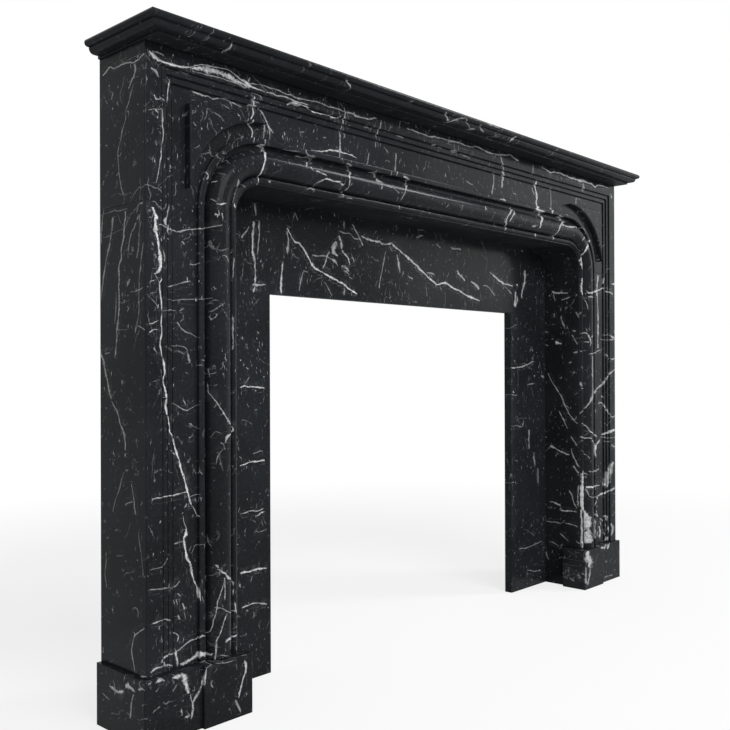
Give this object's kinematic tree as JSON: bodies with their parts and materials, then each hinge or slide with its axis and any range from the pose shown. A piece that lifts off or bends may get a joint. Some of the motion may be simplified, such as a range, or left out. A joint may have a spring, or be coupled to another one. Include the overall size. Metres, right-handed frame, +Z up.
{
  "type": "marble fireplace surround",
  "caption": "Marble fireplace surround: moulded mantel shelf, lintel with a half-round roll carried round rounded corners and down the legs, plinth blocks and flat slips round the fire opening.",
  "frame": {"origin": "on the hearth, at the middle of the footprint of the whole surround", "axes": "+X to the right along the front, +Y from the front into the wall, +Z up"},
  "size_m": [1.539, 0.192, 1.1],
  "materials": {
    "marble": "polished",
    "resin": "satin",
    "steel": "satin",
    "offcut": "matte"
  },
  "bodies": {
    "root": {"mantel_shelf": "marble", "shelf_bed": "resin", "lintel": "marble", "lintel_return_left": "marble", "lintel_return_right": "marble", "lintel_beds": "resin", "jamb_left": "marble", "jamb_right": "marble", "jamb_return_left": "marble", "jamb_return_right": "marble", "jamb_beds": "resin", "ingoing_left": "marble", "ingoing_right": "marble", "soffit": "marble", "plinth_left": "marble", "plinth_right": "marble", "plinth_return_left": "marble", "plinth_return_right": "marble", "header_slip": "marble", "slip_left": "marble", "slip_right": "marble", "slip_beds": "resin", "shelf_dowels": "steel", "lintel_dowels": "steel", "plinth_dowels": "steel", "corner_blocks_left": "offcut", "corner_blocks_right": "offcut", "lintel_corner_blocks": "offcut", "soffit_cleats": "offcut", "shelf_support": "offcut", "leg_brackets": "steel", "lintel_brackets": "steel", "leg_bracket_screws": "steel", "lintel_bracket_screws": "steel"}
  },
  "joints": []
}
